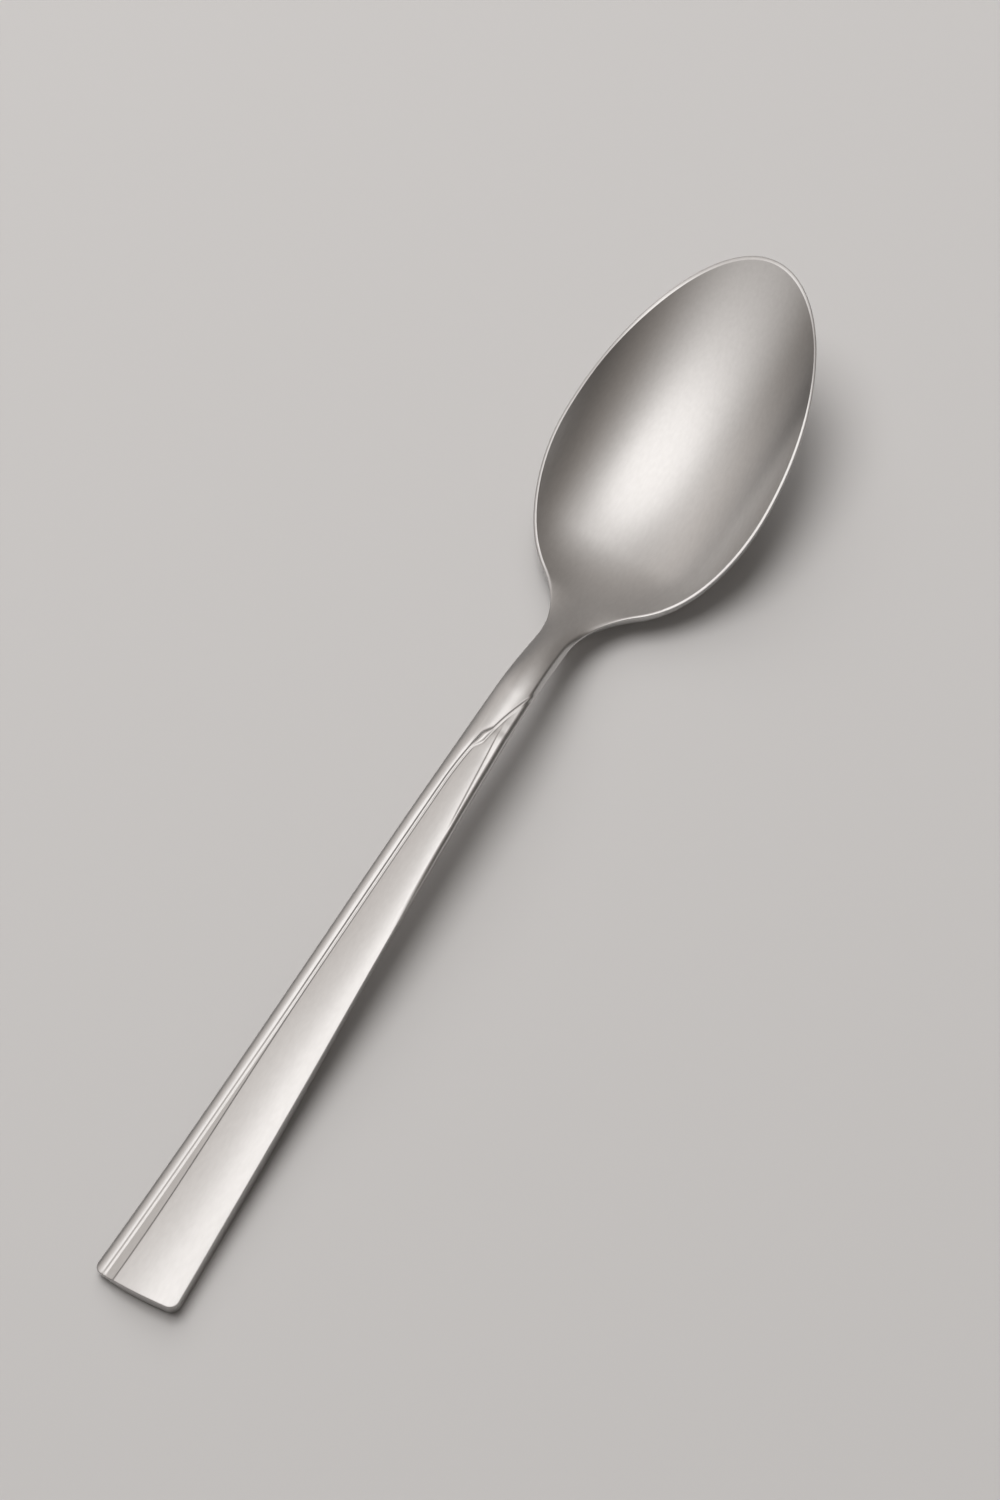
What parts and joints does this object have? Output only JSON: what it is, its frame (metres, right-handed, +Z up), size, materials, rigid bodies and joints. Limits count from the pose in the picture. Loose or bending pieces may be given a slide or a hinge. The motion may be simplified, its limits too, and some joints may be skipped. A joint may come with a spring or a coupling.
{
  "type": "teaspoon",
  "caption": "Satin stainless teaspoon with an oval dished bowl, slim arched neck and flat tapered handle with coined edge lines, lying bowl up; for stirring and eating.",
  "frame": {"origin": "centre of the bounding box in plan, on the table plane under the spoon", "axes": "+X along the spoon from the handle's end to the bowl's tip, +Y to the side of the coined bead, +Z up out of the bowl"},
  "size_m": [0.14, 0.0274, 0.0167],
  "materials": {
    "satin_steel": "satin"
  },
  "bodies": {
    "root": {"bowl": "satin_steel", "neck": "satin_steel", "handle": "satin_steel"}
  },
  "joints": []
}
